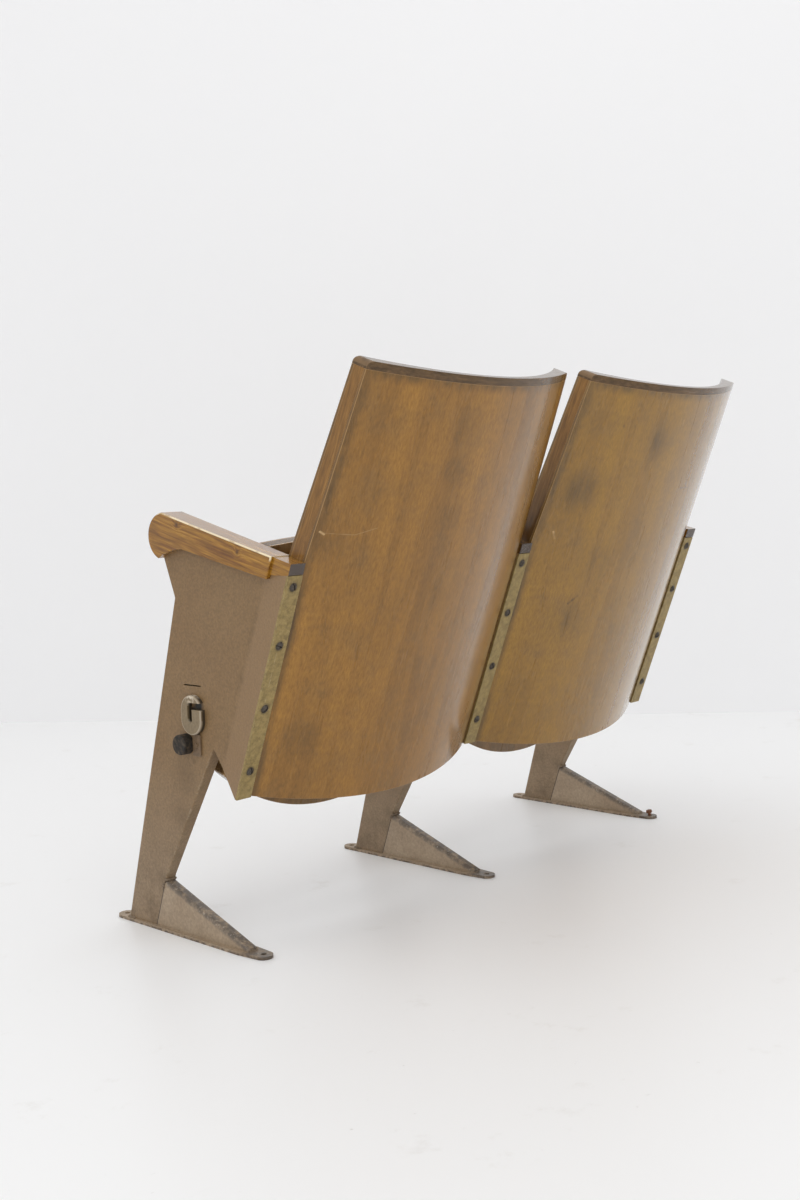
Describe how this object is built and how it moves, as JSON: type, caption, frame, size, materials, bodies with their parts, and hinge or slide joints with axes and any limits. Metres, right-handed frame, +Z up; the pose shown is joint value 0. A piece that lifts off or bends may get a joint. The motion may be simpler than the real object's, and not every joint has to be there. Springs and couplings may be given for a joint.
{
  "type": "cinema chair",
  "caption": "Row of tip-up cinema chairs: pressed-steel supports with floor feet, reclined curved plywood backs, hinged plywood seats that fold up, and wooden armrests.",
  "frame": {"origin": "on the floor, midway between the two bolt holes of the middle foot", "axes": "+X along the row to the sitter's left, +Y to the rear, +Z up"},
  "size_m": [1.096, 0.6137, 0.8601],
  "materials": {
    "hammer_paint": "taupe hammered paint, worn",
    "strip_paint": "olive hammered paint",
    "dark_steel": "oxidised",
    "hinge_steel": "dull",
    "rubber": "matt",
    "plywood": "satin varnish",
    "solid_wood": "satin varnish",
    "frame_wood": "plain",
    "cap_wood": "worn varnish"
  },
  "bodies": {
    "frame": {"armrest_screws": "dark_steel", "back_screws": "dark_steel", "left_armrest": "solid_wood", "left_back_bottom_packers": "frame_wood", "left_back_cap": "cap_wood", "left_back_front_skin": "plywood", "left_back_left_stile": "solid_wood", "left_back_rear_skin": "plywood", "left_back_right_stile": "solid_wood", "left_back_top_packers": "frame_wood", "left_buffer_straps": "hammer_paint", "left_buffers": "rubber", "left_clamp_strip": "strip_paint", "left_end_bearing": "hammer_paint", "left_foot": "hammer_paint", "left_seat_bearings": "hammer_paint", "left_strip_bolts": "dark_steel", "left_support_left_cheek": "hammer_paint", "left_support_right_cheek": "hammer_paint", "middle_armrest": "solid_wood", "middle_buffer_straps": "hammer_paint", "middle_buffers": "rubber", "middle_clamp_strip": "strip_paint", "middle_foot": "hammer_paint", "middle_strip_bolts": "dark_steel", "middle_support_left_cheek": "hammer_paint", "middle_support_right_cheek": "hammer_paint", "right_armrest": "solid_wood", "right_back_bottom_packers": "frame_wood", "right_back_cap": "cap_wood", "right_back_front_skin": "plywood", "right_back_left_stile": "solid_wood", "right_back_rear_skin": "plywood", "right_back_right_stile": "solid_wood", "right_back_top_packers": "frame_wood", "right_buffer_straps": "hammer_paint", "right_buffers": "rubber", "right_clamp_strip": "strip_paint", "right_end_bearing": "hammer_paint", "right_foot": "hammer_paint", "right_seat_bearings": "hammer_paint", "right_strip_bolts": "dark_steel", "right_support_left_cheek": "hammer_paint", "right_support_right_cheek": "hammer_paint"},
    "left_seat": {"left_seat_bottom_skin": "plywood", "left_seat_front_rail": "frame_wood", "left_seat_hinge_plates": "hinge_steel", "left_seat_hinge_screws": "dark_steel", "left_seat_rear_rail": "frame_wood", "left_seat_side_rails": "frame_wood", "left_seat_top_skin": "plywood"},
    "right_seat": {"right_seat_bottom_skin": "plywood", "right_seat_front_rail": "frame_wood", "right_seat_hinge_plates": "hinge_steel", "right_seat_hinge_screws": "dark_steel", "right_seat_rear_rail": "frame_wood", "right_seat_side_rails": "frame_wood", "right_seat_top_skin": "plywood"}
  },
  "joints": [
    {"name": "left_seat_hinge", "type": "hinge", "parent": "frame", "child": "left_seat", "pos_m": [0.26, 0.041, 0.345], "axis": [1, 0, 0], "range_deg": [0, 98]},
    {"name": "right_seat_hinge", "type": "hinge", "parent": "frame", "child": "right_seat", "pos_m": [-0.26, 0.041, 0.345], "axis": [1, 0, 0], "range_deg": [0, 98]}
  ]
}
